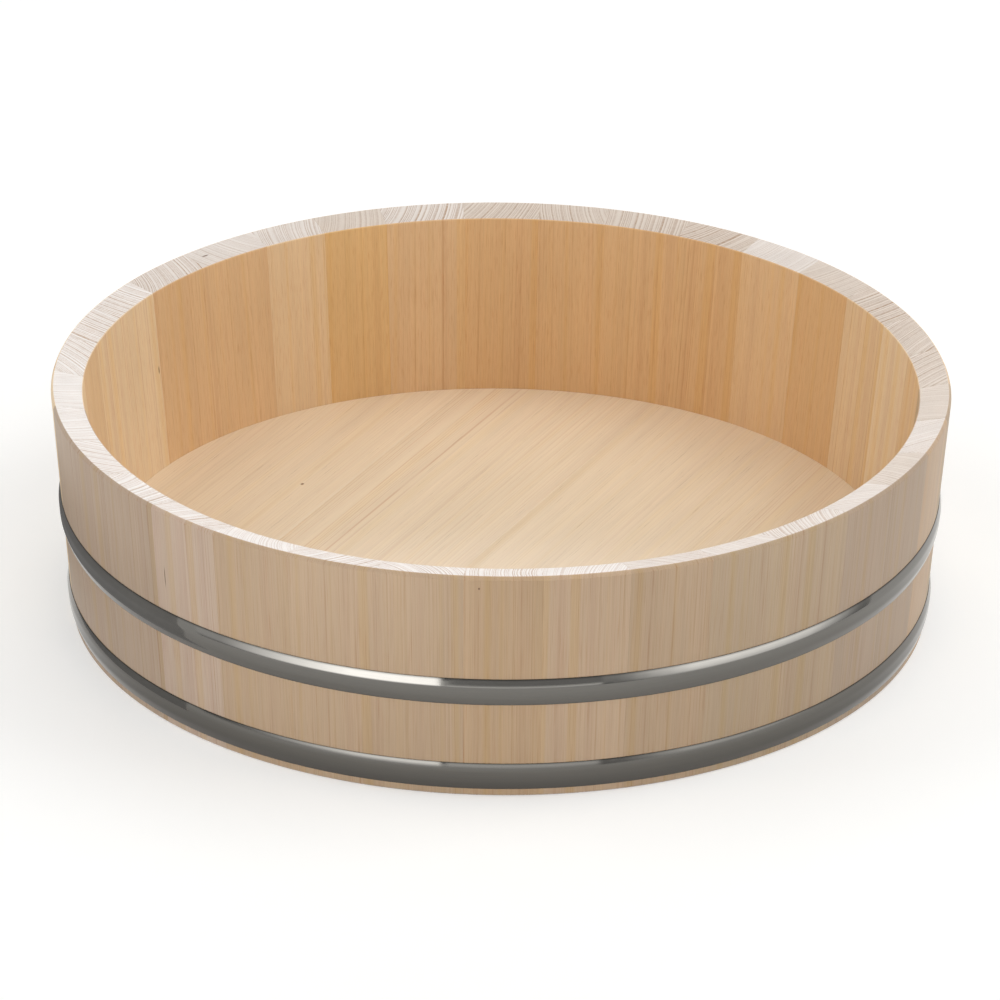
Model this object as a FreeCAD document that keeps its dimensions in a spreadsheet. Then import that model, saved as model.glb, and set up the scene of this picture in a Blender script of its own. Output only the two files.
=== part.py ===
import FreeCAD, Part
import math
import os

import Sketcher

# Rice tub of tapered staves, held by two rounded metal hoops around a floor of four boards.
# The origin is the centre of the foot, on the surface that the tub stands on, with +Z up.

# Driving sizes in millimetres. Names that end in angle are degrees, and the three stave
# angles are shared out over the whole circle. Names that end in share are parts of the
# floor's radius.
SIZES = {
    "rim_radius": 240.0,
    "tub_height": 129.0,
    "foot_radius": 230.8,
    "rim_wall": 17.1,
    "foot_wall": 19.5,
    "rim_drop": 3.5,
    "rim_bevel_width": 1.2,
    "rim_bevel_height": 2.2,
    "rim_edge_round": 0.6,
    "rim_inner_round": 0.8,
    "foot_chamfer": 1.2,
    "narrow_stave_angle": 9.6,
    "middle_stave_angle": 10.7,
    "wide_stave_angle": 11.6,
    "first_joint_angle": 20.9,
    "stave_pin_width": 3.0,
    "stave_pin_length": 18.0,
    "stave_pin_level": 88.0,
    "floor_level": 24.0,
    "board_thickness": 14.0,
    "groove_depth": 5.0,
    "board_play": 0.3,
    "board_chamfer": 1.5,
    "grain_angle": 63.5,
    "left_joint_share": -0.5206,
    "middle_joint_share": -0.0394,
    "right_joint_share": 0.4738,
    "board_pin_width": 4.0,
    "board_pin_length": 36.0,
    "board_pin_gap": 88.0,
    "hoop_width": 15.0,
    "hoop_edge": 0.5,
    "hoop_bulge": 1.6,
    "lower_hoop_level": 4.6,
    "upper_hoop_level": 54.5,
}

# Narrow, middle and wide staves in the order they stand, anticlockwise from the first joint
STAVE_ORDER = "MMMMWNMWNNWWNNMMMMMMMWMNMMNWNMMMMM"
STAVE_KINDS = {
    "N": "Sizes.narrow_stave_angle",
    "M": "Sizes.middle_stave_angle",
    "W": "Sizes.wide_stave_angle",
}

PINS_PER_BOARD_JOINT = 4

# Expressions for the two tapered faces of the wall
RIM_INNER = "(Sizes.rim_radius - Sizes.rim_wall)"
RIM_INNER_LEVEL = "(Sizes.tub_height - Sizes.rim_drop)"
BEVEL_FOOT = "(Sizes.tub_height - Sizes.rim_bevel_height)"
FOOT_INNER = "(Sizes.foot_radius - Sizes.foot_wall)"
OUTER_SLOPE = "((Sizes.rim_radius - Sizes.foot_radius) / Sizes.tub_height)"
INNER_SLOPE = f"(({RIM_INNER} - {FOOT_INNER}) / {RIM_INNER_LEVEL})"


def outer_wall(level):
    """Radius of the outer face at a height."""
    return f"(Sizes.foot_radius + {OUTER_SLOPE} * ({level}))"


def inner_wall(level):
    """Radius of the inner face at a height."""
    return f"({FOOT_INNER} + {INNER_SLOPE} * ({level}))"


# The floor fills the staves' groove apart from a little play at its rim
UNDERSIDE_LEVEL = "(Sizes.floor_level - Sizes.board_thickness)"
GROOVE_RADIUS = f"({inner_wall('Sizes.floor_level')} + Sizes.groove_depth)"
FLOOR_RADIUS = f"({GROOVE_RADIUS} - Sizes.board_play)"
FLOOR_TURN = "(Sizes.grain_angle - 90)"

doc = FreeCAD.newDocument("RiceTub")


# The sheet of sizes

def make_sheet():
    sheet = doc.addObject("Spreadsheet::Sheet", "Sizes")
    for row, (alias, value) in enumerate(SIZES.items(), start=1):
        sheet.set(f"A{row}", alias)
        sheet.set(f"B{row}", str(value))
        sheet.setAlias(f"B{row}", alias)
    doc.recompute()
    return sheet


sheet = make_sheet()


def value_of(expression):
    """The number that an expression on the sheet gives, to start a sketch from."""
    return float(sheet.evalExpression(expression))


def place_of(across, up):
    return FreeCAD.Vector(value_of(across), value_of(up), 0)


# Sketches: each measure is bound to the sheet

def make_sketch(body, name, role):
    """An empty sketch on one of the body's own planes."""
    sketch = body.newObject("Sketcher::SketchObject", f"{body.Name}_{name}")
    planes = [plane for plane in body.Origin.OriginFeatures if plane.Role == role]
    sketch.AttachmentSupport = [(planes[0], "")]
    sketch.MapMode = "FlatFace"
    return sketch


def bind(sketch, expression, kind, *where):
    """Add one constraint with a measure, and bind the measure to an expression."""
    index = sketch.addConstraint(Sketcher.Constraint(kind, *where, value_of(expression)))
    sketch.setExpression(f"Constraints[{index}]", expression)


def bind_point(sketch, curve, end, across, up):
    """Fix one point of a curve, measured from the sketch's origin."""
    bind(sketch, across, "DistanceX", -1, 1, curve, end)
    bind(sketch, up, "DistanceY", -1, 1, curve, end)


def meet(sketch, first, second):
    """Join the end of one curve to the start of the next."""
    sketch.addConstraint(Sketcher.Constraint("Coincident", first, 2, second, 1))


def add_line(sketch, start, end):
    return sketch.addGeometry(Part.LineSegment(start, end), False)


def rounded_corner(before, corner, after, radius):
    """Where a round starts and ends, and its arc, anticlockwise."""
    back = (before - corner).normalize()
    ahead = (after - corner).normalize()
    half_angle = back.getAngle(ahead) / 2
    start = corner + back * (radius / math.tan(half_angle))
    end = corner + ahead * (radius / math.tan(half_angle))
    middle = corner + (back + ahead).normalize() * (radius / math.sin(half_angle))
    angles = [math.atan2(point.y - middle.y, point.x - middle.x) for point in (start, end)]
    circle = Part.Circle(middle, FreeCAD.Vector(0, 0, 1), radius)
    return start, end, Part.ArcOfCircle(circle, *angles)


def draw_outline(sketch, corners):
    """A closed outline, anticlockwise: each corner is across, up and a round or None."""
    places = [place_of(across, up) for across, up, _ in corners]
    starts, ends, arcs = list(places), list(places), {}
    for number, (_, _, radius) in enumerate(corners):
        if radius is not None:
            following = places[(number + 1) % len(places)]
            ends[number], starts[number], arcs[number] = rounded_corner(
                places[number - 1], places[number], following, value_of(radius))
    lines = [add_line(sketch, starts[number], ends[(number + 1) % len(places)])
             for number in range(len(places))]
    for number, (across, up, radius) in enumerate(corners):
        before, after = lines[number - 1], lines[number]
        if radius is None:
            meet(sketch, before, after)
            bind_point(sketch, after, 1, across, up)
            continue
        arc = sketch.addGeometry(arcs[number], False)
        sketch.addConstraint(Sketcher.Constraint("Tangent", before, 2, arc, 1))
        sketch.addConstraint(Sketcher.Constraint("Tangent", arc, 2, after, 1))
        bind(sketch, radius, "Radius", arc)
        sharp = sketch.addGeometry(Part.Point(places[number]), True)
        bind_point(sketch, sharp, 1, across, up)
        sketch.addConstraint(Sketcher.Constraint("PointOnObject", sharp, 1, before))
        sketch.addConstraint(Sketcher.Constraint("PointOnObject", sharp, 1, after))


def draw_circle(sketch, across, up, width):
    middle = place_of(across, up)
    radius = value_of(width) / 2
    curve = sketch.addGeometry(Part.Circle(middle, FreeCAD.Vector(0, 0, 1), radius), False)
    bind_point(sketch, curve, 3, across, up)
    bind(sketch, width, "Diameter", curve)


# Bodies and their features

def make_body(label):
    body = doc.addObject("PartDesign::Body", label)
    body.Label = label
    return body


def turn_about_axis(body, angle):
    """Place a body by turning it about the tub's axis."""
    turn = FreeCAD.Rotation(FreeCAD.Vector(0, 0, 1), value_of(angle))
    body.Placement = FreeCAD.Placement(FreeCAD.Vector(), turn)
    body.setExpression("Placement.Rotation.Angle", angle)


def revolve(body, sketch, angle):
    feature = body.newObject("PartDesign::Revolution", f"{body.Name}_turn")
    feature.Profile = sketch
    feature.ReferenceAxis = (sketch, ["V_Axis"])
    feature.setExpression("Angle", angle)
    sketch.Visibility = False


def pad(body, sketch, length, midplane=False):
    feature = body.newObject("PartDesign::Pad", f"{body.Name}_pad")
    feature.Profile = sketch
    feature.Midplane = midplane
    feature.setExpression("Length", length)
    sketch.Visibility = False
    return feature


def drill(body, sketch, length, backwards):
    """Blind round holes, with a check that they took material away."""
    doc.recompute()
    volume_before = body.Shape.Volume
    feature = body.newObject("PartDesign::Pocket", f"{sketch.Name}_hole")
    feature.Profile = sketch
    feature.setExpression("Length", length)
    feature.Reversed = backwards
    sketch.Visibility = False
    doc.recompute()
    if body.Shape.Volume >= volume_before:
        raise RuntimeError(f"{feature.Name} cuts nothing")


def group_pins(label, pins):
    group = doc.addObject("Part::Compound", label)
    group.Label = label
    group.Links = pins
    return group


# Angles of the joints between the staves

def share_sum(letters):
    """The angles of a run of staves added up."""
    shares = [f"{letters.count(letter)} * {angle}" for letter, angle in STAVE_KINDS.items()]
    return "(" + " + ".join(shares) + ")"


def arc_of(letters):
    """The angle that a run of staves takes of the whole circle."""
    return f"(360 * {share_sum(letters)} / {share_sum(STAVE_ORDER)})"


def joint_angle(number):
    """The angle of the joint before a stave, counted from 0."""
    return f"(Sizes.first_joint_angle + {arc_of(STAVE_ORDER[:number])})"


# The staves: each a sector of the tapered wall, with the groove that takes the floor

def stave_section():
    """The wall's section as radius and height: up the outer face, over the bevelled rim, down."""
    chamfer = "Sizes.foot_chamfer"
    return [
        (f"(Sizes.foot_radius - {chamfer})", "0", None),
        (outer_wall(chamfer), chamfer, None),
        (outer_wall(BEVEL_FOOT), BEVEL_FOOT, None),
        ("(Sizes.rim_radius - Sizes.rim_bevel_width)", "Sizes.tub_height", "Sizes.rim_edge_round"),
        (RIM_INNER, RIM_INNER_LEVEL, "Sizes.rim_inner_round"),
        (inner_wall("Sizes.floor_level"), "Sizes.floor_level", None),
        (GROOVE_RADIUS, "Sizes.floor_level", None),
        (GROOVE_RADIUS, UNDERSIDE_LEVEL, None),
        (inner_wall(UNDERSIDE_LEVEL), UNDERSIDE_LEVEL, None),
        (inner_wall(chamfer), chamfer, None),
        (f"({FOOT_INNER} + {chamfer})", "0", None),
    ]


def draw_stave_pin(sketch):
    """The pin's end, in the middle of the wall's thickness."""
    level = "Sizes.stave_pin_level"
    middle = f"(({outer_wall(level)} + {inner_wall(level)}) / 2)"
    draw_circle(sketch, middle, level, "Sizes.stave_pin_width")


def make_stave(number):
    span = arc_of(STAVE_ORDER[number])
    body = make_body(f"stave_{number + 1:02d}")
    section = make_sketch(body, "section", "XZ_Plane")
    draw_outline(section, stave_section())
    revolve(body, section, span)

    # Both joint faces are drilled for the pins: the first lies in the plane of the section,
    # the second is turned from it by the stave's own angle.
    first_face = make_sketch(body, "first_face", "XZ_Plane")
    draw_stave_pin(first_face)
    drill(body, first_face, "Sizes.stave_pin_length / 2", False)
    second_face = make_sketch(body, "second_face", "XZ_Plane")
    draw_stave_pin(second_face)
    turn = FreeCAD.Rotation(FreeCAD.Vector(0, 1, 0), value_of(span))
    second_face.AttachmentOffset = FreeCAD.Placement(FreeCAD.Vector(), turn)
    second_face.setExpression("AttachmentOffset.Rotation.Angle", span)
    drill(body, second_face, "Sizes.stave_pin_length / 2", True)

    turn_about_axis(body, joint_angle(number))
    return body


def make_stave_pins():
    """One pin in each joint, half in each of the staves that it joins."""
    pins = []
    for number in range(len(STAVE_ORDER)):
        pin = make_body(f"stave_pin_{number + 1:02d}")
        sketch = make_sketch(pin, "end", "XZ_Plane")
        draw_stave_pin(sketch)
        pad(pin, sketch, "Sizes.stave_pin_length", midplane=True)
        turn_about_axis(pin, joint_angle(number))
        pins.append(pin)
    return group_pins("stave_pins", pins)


# The floor: four boards edge to edge, modelled with their grain along Y and then turned

BOARD_JOINTS = [
    f"(Sizes.left_joint_share * {FLOOR_RADIUS})",
    f"(Sizes.middle_joint_share * {FLOOR_RADIUS})",
    f"(Sizes.right_joint_share * {FLOOR_RADIUS})",
]


def joint_ends(offset):
    """The two ends of a joint between boards: towards -Y and towards +Y."""
    across = value_of(offset)
    half_chord = math.sqrt(value_of(FLOOR_RADIUS) ** 2 - across ** 2)
    return FreeCAD.Vector(across, -half_chord, 0), FreeCAD.Vector(across, half_chord, 0)


def add_rim_arc(sketch, start, end):
    """An arc of the floor's rim between two points, anticlockwise about the origin."""
    circle = Part.Circle(FreeCAD.Vector(), FreeCAD.Vector(0, 0, 1), value_of(FLOOR_RADIUS))
    arc = Part.ArcOfCircle(circle, math.atan2(start.y, start.x), math.atan2(end.y, end.x))
    curve = sketch.addGeometry(arc, False)
    sketch.addConstraint(Sketcher.Constraint("Coincident", curve, 3, -1, 1))
    bind(sketch, FLOOR_RADIUS, "Radius", curve)
    return curve


def add_joint_line(sketch, offset, start, end):
    """A board's straight edge, along the grain at a distance from the middle."""
    curve = add_line(sketch, start, end)
    sketch.addConstraint(Sketcher.Constraint("Vertical", curve))
    bind(sketch, offset, "DistanceX", -1, 1, curve, 1)
    return curve


def draw_board(sketch, left, right):
    """A board's outline between two joints; None stands for the floor's own rim."""
    curves = []
    if right is not None:
        right_low, right_high = joint_ends(right)
        curves.append(add_joint_line(sketch, right, right_low, right_high))
    if left is not None:
        left_low, left_high = joint_ends(left)
        if right is not None:
            curves.append(add_rim_arc(sketch, right_high, left_high))
        curves.append(add_joint_line(sketch, left, left_high, left_low))
    arc_start = right_high if left is None else left_low
    arc_end = left_high if right is None else right_low
    curves.append(add_rim_arc(sketch, arc_start, arc_end))
    for first, second in zip(curves, curves[1:] + curves[:1]):
        meet(sketch, first, second)


def rim_edges_at(shape, radius, level):
    """Names of the arcs about the tub's axis at one radius and height."""
    tolerance = 1e-4
    names = []
    for number, edge in enumerate(shape.Edges, start=1):
        middle = edge.valueAt((edge.FirstParameter + edge.LastParameter) / 2)
        off_radius = abs(math.hypot(middle.x, middle.y) - radius)
        off_level = abs(middle.z - level)
        if isinstance(edge.Curve, Part.Circle) and max(off_radius, off_level) < tolerance:
            names.append(f"Edge{number}")
    return names


def break_lower_rim(body, padded):
    """The lower edge of the floor's rim is broken, so that it slips into the groove."""
    doc.recompute()
    rim = rim_edges_at(padded.Shape, value_of(FLOOR_RADIUS), value_of(UNDERSIDE_LEVEL))
    chamfer = body.newObject("PartDesign::Chamfer", f"{body.Name}_lead_in")
    chamfer.Base = (padded, rim)
    chamfer.setExpression("Size", "Sizes.board_chamfer")


def board_pin_places():
    """Where the pins of one joint lie along it, even about the middle."""
    middle = (PINS_PER_BOARD_JOINT - 1) / 2
    return [f"({number - middle} * Sizes.board_pin_gap)" for number in range(PINS_PER_BOARD_JOINT)]


def draw_board_pin(sketch, place):
    middle = f"({UNDERSIDE_LEVEL} + Sizes.board_thickness / 2)"
    draw_circle(sketch, place, middle, "Sizes.board_pin_width")


def shift_sketch(sketch, offset):
    """Move a sketch along its own normal."""
    shift = FreeCAD.Vector(0, 0, value_of(offset))
    sketch.AttachmentOffset = FreeCAD.Placement(shift, FreeCAD.Rotation())
    sketch.setExpression("AttachmentOffset.Base.z", offset)


def drill_board(body, name, offset, backwards):
    sketch = make_sketch(body, name, "YZ_Plane")
    for place in board_pin_places():
        draw_board_pin(sketch, place)
    shift_sketch(sketch, offset)
    drill(body, sketch, "Sizes.board_pin_length / 2", backwards)


def make_board(number, left, right):
    body = make_body(f"floor_board_{number}")
    outline = make_sketch(body, "outline", "XY_Plane")
    draw_board(outline, left, right)
    shift_sketch(outline, UNDERSIDE_LEVEL)
    break_lower_rim(body, pad(body, outline, "Sizes.board_thickness"))
    if left is not None:
        drill_board(body, "left_face", left, True)
    if right is not None:
        drill_board(body, "right_face", right, False)
    turn_about_axis(body, FLOOR_TURN)
    return body


def make_floor():
    edges = [None] + BOARD_JOINTS + [None]
    return [make_board(number, edges[number - 1], edges[number])
            for number in range(1, len(edges))]


def make_floor_pins():
    pins = []
    for number, offset in enumerate(BOARD_JOINTS, start=1):
        for row, place in enumerate(board_pin_places(), start=1):
            pin = make_body(f"floor_pin_{number}_{row}")
            sketch = make_sketch(pin, "end", "YZ_Plane")
            draw_board_pin(sketch, place)
            shift_sketch(sketch, offset)
            pad(pin, sketch, "Sizes.board_pin_length", midplane=True)
            turn_about_axis(pin, FLOOR_TURN)
            pins.append(pin)
    return group_pins("floor_pins", pins)


# The hoops: strip with a crowned outer face, driven up on to the taper of the wall

def make_hoop(label, level):
    body = make_body(label)
    section = make_sketch(body, "section", "XZ_Plane")
    top = f"({level} + Sizes.hoop_width)"
    middle = f"({level} + Sizes.hoop_width / 2)"
    low_inner = (outer_wall(level), level)
    low_outer = (f"({outer_wall(level)} + Sizes.hoop_edge)", level)
    crown = (f"({outer_wall(middle)} + Sizes.hoop_bulge)", middle)
    high_outer = (f"({outer_wall(top)} + Sizes.hoop_edge)", top)
    high_inner = (outer_wall(top), top)

    lower = add_line(section, place_of(*low_inner), place_of(*low_outer))
    face = Part.Arc(place_of(*low_outer), place_of(*crown), place_of(*high_outer))
    crowned = section.addGeometry(face, False)
    upper = add_line(section, place_of(*high_outer), place_of(*high_inner))
    back = add_line(section, place_of(*high_inner), place_of(*low_inner))
    curves = [lower, crowned, upper, back]
    for first, second in zip(curves, curves[1:] + curves[:1]):
        meet(section, first, second)
    for curve, corner in ((lower, low_inner), (crowned, low_outer), (upper, high_outer),
                          (back, high_inner)):
        bind_point(section, curve, 1, *corner)
    peak = section.addGeometry(Part.Point(place_of(*crown)), True)
    bind_point(section, peak, 1, *crown)
    section.addConstraint(Sketcher.Constraint("PointOnObject", peak, 1, crowned))
    revolve(body, section, "360")
    return body


# The whole tub

def make_tub():
    staves = [make_stave(number) for number in range(len(STAVE_ORDER))]
    hoops = [
        make_hoop("lower_hoop", "Sizes.lower_hoop_level"),
        make_hoop("upper_hoop", "Sizes.upper_hoop_level"),
    ]
    return staves + make_floor() + hoops + [make_stave_pins(), make_floor_pins()]


def check_document(pieces):
    for item in doc.Objects:
        if "Invalid" in item.State or "Error" in item.State:
            raise RuntimeError(f"{item.Label} is in state {item.State}")
    for piece in pieces:
        if piece.Shape.isNull() or not piece.Shape.isValid():
            raise RuntimeError(f"{piece.Label} has no valid shape")


def write_pieces(pieces):
    os.makedirs("parts", exist_ok=True)
    for piece in pieces:
        piece.Shape.exportStep(f"parts/{piece.Label}.step")


tub = make_tub()
doc.recompute()
check_document(tub)
write_pieces(tub)
for piece in tub:
    print(piece.Label, len(piece.Shape.Solids), round(piece.Shape.Volume, 1))
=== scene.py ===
"""Looks of the wooden rice tub: planed cypress staves and floor, rolled steel hoops, plain studio."""

import math
import random

import bmesh
import bpy
from mathutils import Matrix, Vector


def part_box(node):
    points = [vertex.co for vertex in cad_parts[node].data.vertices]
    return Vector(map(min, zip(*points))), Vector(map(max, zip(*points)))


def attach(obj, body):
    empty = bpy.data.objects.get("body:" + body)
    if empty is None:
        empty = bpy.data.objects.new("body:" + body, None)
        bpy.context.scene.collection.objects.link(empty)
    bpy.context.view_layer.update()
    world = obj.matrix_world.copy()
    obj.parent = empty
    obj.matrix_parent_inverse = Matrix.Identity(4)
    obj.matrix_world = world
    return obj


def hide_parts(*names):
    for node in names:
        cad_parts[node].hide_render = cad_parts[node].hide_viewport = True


bl_info = {
    "name": "Rice Tub Looks",
    "version": (1, 0, 0),
    "blender": (4, 5, 0),
    "location": "3D View > Sidebar > Rice Tub",
    "description": "Dresses the coopered rice tub in planed cypress, steel hoops and a plain studio",
    "category": "Object",
}

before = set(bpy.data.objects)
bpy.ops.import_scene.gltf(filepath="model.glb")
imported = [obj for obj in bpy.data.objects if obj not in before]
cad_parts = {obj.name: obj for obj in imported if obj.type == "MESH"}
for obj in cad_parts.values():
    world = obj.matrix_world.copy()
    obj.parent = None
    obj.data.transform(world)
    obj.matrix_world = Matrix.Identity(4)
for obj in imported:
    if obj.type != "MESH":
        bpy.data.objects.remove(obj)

STAVE_NODES = sorted(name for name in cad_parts
                     if name.startswith("stave_") and name != "stave_pins")
BOARD_NODES = sorted(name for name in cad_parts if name.startswith("floor_board_"))
MM = 0.001
# An edge between faces that turn more than this from each other is shaded sharp
SHARP_ANGLE = math.radians(32)
# Sockets of a Mix node that mixes colours: its share, its two colours and its result
SHARE, UNDER, OVER, MIXED = 0, 6, 7, 2


def linear(hex_colour):
    """An sRGB hex colour as the linear numbers that the shaders take."""
    parts = [int(hex_colour[place:place + 2], 16) / 255 for place in (1, 3, 5)]
    return tuple(part / 12.92 if part <= 0.04045 else ((part + 0.055) / 1.055) ** 2.4
                 for part in parts)


# Settings that a user would change

def colour_setting(name, description, hex_colour):
    """A colour of the wood or the metal that the user can change."""
    return bpy.props.FloatVectorProperty(
        name=name, description=description, default=linear(hex_colour), size=3,
        subtype="COLOR", min=0, max=1)


class TubSizes(bpy.types.PropertyGroup):
    """Sizes of the tub that its dressed pieces are drawn from."""

    rim_radius: bpy.props.FloatProperty(
        name="Rim radius", description="Outer radius of the wall at the rim",
        default=0.240, unit="LENGTH")
    foot_radius: bpy.props.FloatProperty(
        name="Foot radius", description="Outer radius of the wall at the foot",
        default=0.2308, unit="LENGTH")
    height: bpy.props.FloatProperty(
        name="Height", description="Height of the rim's outer edge",
        default=0.129, unit="LENGTH")
    rim_wall: bpy.props.FloatProperty(
        name="Wall at the rim", description="Thickness of the staves at the rim",
        default=0.0171, unit="LENGTH")
    foot_wall: bpy.props.FloatProperty(
        name="Wall at the foot", description="Thickness of the staves at the foot",
        default=0.0195, unit="LENGTH")
    rim_drop: bpy.props.FloatProperty(
        name="Rim drop", description="How far the rim slopes down to its inner edge",
        default=0.0035, unit="LENGTH")
    bevel_width: bpy.props.FloatProperty(
        name="Bevel width", description="Width of the bevel on the rim's outer edge",
        default=0.0012, unit="LENGTH")
    bevel_height: bpy.props.FloatProperty(
        name="Bevel height", description="Height of the bevel on the rim's outer edge",
        default=0.0022, unit="LENGTH")
    floor_top: bpy.props.FloatProperty(
        name="Floor level", description="Height of the floor's upper face",
        default=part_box("floor_board_2")[1].z, unit="LENGTH")
    floor_bottom: bpy.props.FloatProperty(
        name="Floor underside", description="Height of the floor's lower face",
        default=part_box("floor_board_2")[0].z, unit="LENGTH")
    groove_depth: bpy.props.FloatProperty(
        name="Groove depth", description="Depth of the staves' groove that holds the floor",
        default=0.005, unit="LENGTH")
    board_play: bpy.props.FloatProperty(
        name="Floor play", description="Play between the floor's rim and the groove",
        default=0.0003, unit="LENGTH")
    hoop_edge: bpy.props.FloatProperty(
        name="Hoop edge", description="Thickness of the hoops at their edges",
        default=0.0003, unit="LENGTH")
    hoop_bulge: bpy.props.FloatProperty(
        name="Hoop bulge", description="How far the hoops stand out at mid width",
        default=0.0016, unit="LENGTH")
    joint_ease: bpy.props.FloatProperty(
        name="Joint ease", description="How far the edges along each joint are broken",
        default=0.00012, unit="LENGTH")
    grain_angle: bpy.props.FloatProperty(
        name="Floor grain", description="Direction of the floor's grain in plan",
        default=math.radians(63.5), unit="ROTATION", subtype="ANGLE")


class TubColours(bpy.types.PropertyGroup):
    """Colours of the wood and the metal."""

    # Stave shades: those seen from inside the tub, cream to gold, are set lighter and warmer, and
    # those seen from outside, pearl to drab, duller; partly the staves' own tones, partly painted
    # light for the light inside and outside the tub
    cream: colour_setting("Cream", "Palest staves, cut from near the bark", "#F0D6B1")
    straw: colour_setting("Straw", "Pale staves", "#E8C9A0")
    honey: colour_setting("Honey", "Staves of the middle shade", "#E3BE91")
    amber: colour_setting("Amber", "Warmest staves, cut from the heart of the tree", "#DFB684")
    gold: colour_setting("Gold", "Staves of a yellow shade", "#E3BB83")
    pearl: colour_setting("Pearl", "Staves of a cool and light shade", "#CEB7A2")
    linen: colour_setting("Linen", "Staves of a dull and light shade", "#C7AC8E")
    sand: colour_setting("Sand", "Staves of a dull middle shade", "#D1B597")
    fawn: colour_setting("Fawn", "Staves of a dull warm shade", "#CBAD8B")
    ash: colour_setting("Ash", "Staves of a dull pale shade", "#C3AB8E")
    drab: colour_setting("Drab", "Dullest staves", "#BEA790")
    # End shades: white for the rim's front and left staves, dusky for its back and right ones; partly
    # the ends' own tones, partly painted light for the rim lying brighter at the front
    white_lit_end: colour_setting("White ends", "Sanded end grain of sapwood", "#F2ECE7")
    beige_end: colour_setting(
        "Beige ends", "Sanded end grain between sapwood and heartwood", "#E6DDD5")
    dusky_shaded_end: colour_setting("Dusky ends", "Sanded end grain of heartwood", "#DBCEC1")
    latewood: colour_setting(
        "Latewood", "Tint of the dense line that ends each year's ring", "#D39A62")
    end_latewood: colour_setting(
        "Latewood ends", "Tint of the dense lines on end grain", "#BE9C7A")
    # The floor's boards are set paler and less yellow than the staves: partly their own tone, partly
    # a painted sheen for the light they mirror
    floor: colour_setting("Floor", "Boards of the floor", "#EEDABD")
    # The steel is set darker than bare stainless: partly its own colour, partly painted shade for the
    # dark surroundings that the hoops mirror
    steel: colour_setting("Steel", "Rolled stainless strip of the hoops", "#75736F")
    # Painted shade: the dark colour that the hoops' steel turns to along its edges and low on the
    # strip, standing in for the shade and dark reflections there
    shade_colour_on_hoop_edges: colour_setting(
        "Mill skin", "Dark skin left along the edges of the hoops", "#3F3C38")
    bamboo: colour_setting("Bamboo", "Whittled pins in the joints", "#D9C08A")


class TubStudio(bpy.types.PropertyGroup):
    """Camera and light of the studio."""

    lens: bpy.props.FloatProperty(
        name="Lens", description="Focal length on a sensor 36 mm wide", default=220.63,
        unit="CAMERA")
    camera_distance: bpy.props.FloatProperty(
        name="Camera distance", description="From the camera to the middle of the rim's plane",
        default=3.2704, unit="LENGTH")
    camera_rise: bpy.props.FloatProperty(
        name="Camera rise", description="Angle at which the camera stands over the rim's plane",
        default=math.radians(24.594), unit="ROTATION", subtype="ANGLE")
    camera_pitch: bpy.props.FloatProperty(
        name="Camera pitch", description="How far the camera looks down",
        default=math.radians(25.744), unit="ROTATION", subtype="ANGLE")
    camera_roll: bpy.props.FloatProperty(
        name="Camera roll", description="How far the camera leans",
        default=math.radians(0.573), unit="ROTATION", subtype="ANGLE")
    top_power: bpy.props.FloatProperty(
        name="Top light", description="Power of the broad soft lamp over the tub",
        default=17.5, unit="POWER")
    left_power: bpy.props.FloatProperty(
        name="Left light", description="Power of the soft lamp up on the left",
        default=21.0, unit="POWER")
    right_power: bpy.props.FloatProperty(
        name="Right light", description="Power of the soft lamp up on the right",
        default=30.0, unit="POWER")
    back_power: bpy.props.FloatProperty(
        name="Back light", description="Power of the low soft lamp behind the tub",
        default=21.5, unit="POWER")
    side_power: bpy.props.FloatProperty(
        name="Side light", description="Power of the low soft lamp at the front left",
        default=20.0, unit="POWER")
    front_power: bpy.props.FloatProperty(
        name="Front light", description="Power of the soft lamp over the camera",
        default=12.0, unit="POWER")
    strip_power: bpy.props.FloatProperty(
        name="Strip light", description="Power of the low strip lamp that lines the hoops",
        default=5.0, unit="POWER")
    sky_strength: bpy.props.FloatProperty(
        name="Room light", description="Strength of the light that comes from all round",
        default=0.18, min=0)


# Small tools of the workshop

def add_node(tree, kind, settings=None, inputs=None):
    """Add one shader node with its own settings, and values or links for its inputs."""
    node = tree.nodes.new("ShaderNode" + kind)
    for name, value in (settings or {}).items():
        setattr(node, name, value)
    for name, value in (inputs or {}).items():
        if isinstance(value, bpy.types.NodeSocket):
            tree.links.new(value, node.inputs[name])
        else:
            node.inputs[name].default_value = value
    return node


def start_material(name):
    """A new material and its surface shader."""
    material = bpy.data.materials.new(name)
    material.use_nodes = True
    return material, material.node_tree, material.node_tree.nodes["Principled BSDF"]


def rounded(corners, steps):
    """An outline with its corners rounded: each corner is radius, height and its round."""
    outline = []
    for number, (across, up, size) in enumerate(corners):
        corner = Vector((across, up))
        if not size:
            outline.append(corner)
            continue
        back = (Vector(corners[number - 1][:2]) - corner).normalized()
        ahead = (Vector(corners[(number + 1) % len(corners)][:2]) - corner).normalized()
        half = back.angle(ahead) / 2
        start = corner + back * size / math.tan(half)
        end = corner + ahead * size / math.tan(half)
        middle = corner + (back + ahead).normalized() * size / math.sin(half)
        for step in range(steps + 1):
            way = (start.lerp(end, step / steps) - middle).normalized()
            outline.append(middle + way * size)
    return outline


def shrunk(outline, amount):
    """The outline drawn a little inside itself, for an eased edge."""
    inside = []
    for number, point in enumerate(outline):
        ahead = outline[(number + 1) % len(outline)] - outline[number - 1]
        inward = Vector((-ahead.y, ahead.x)).normalized()
        inside.append(point + inward * amount)
    return inside


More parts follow.
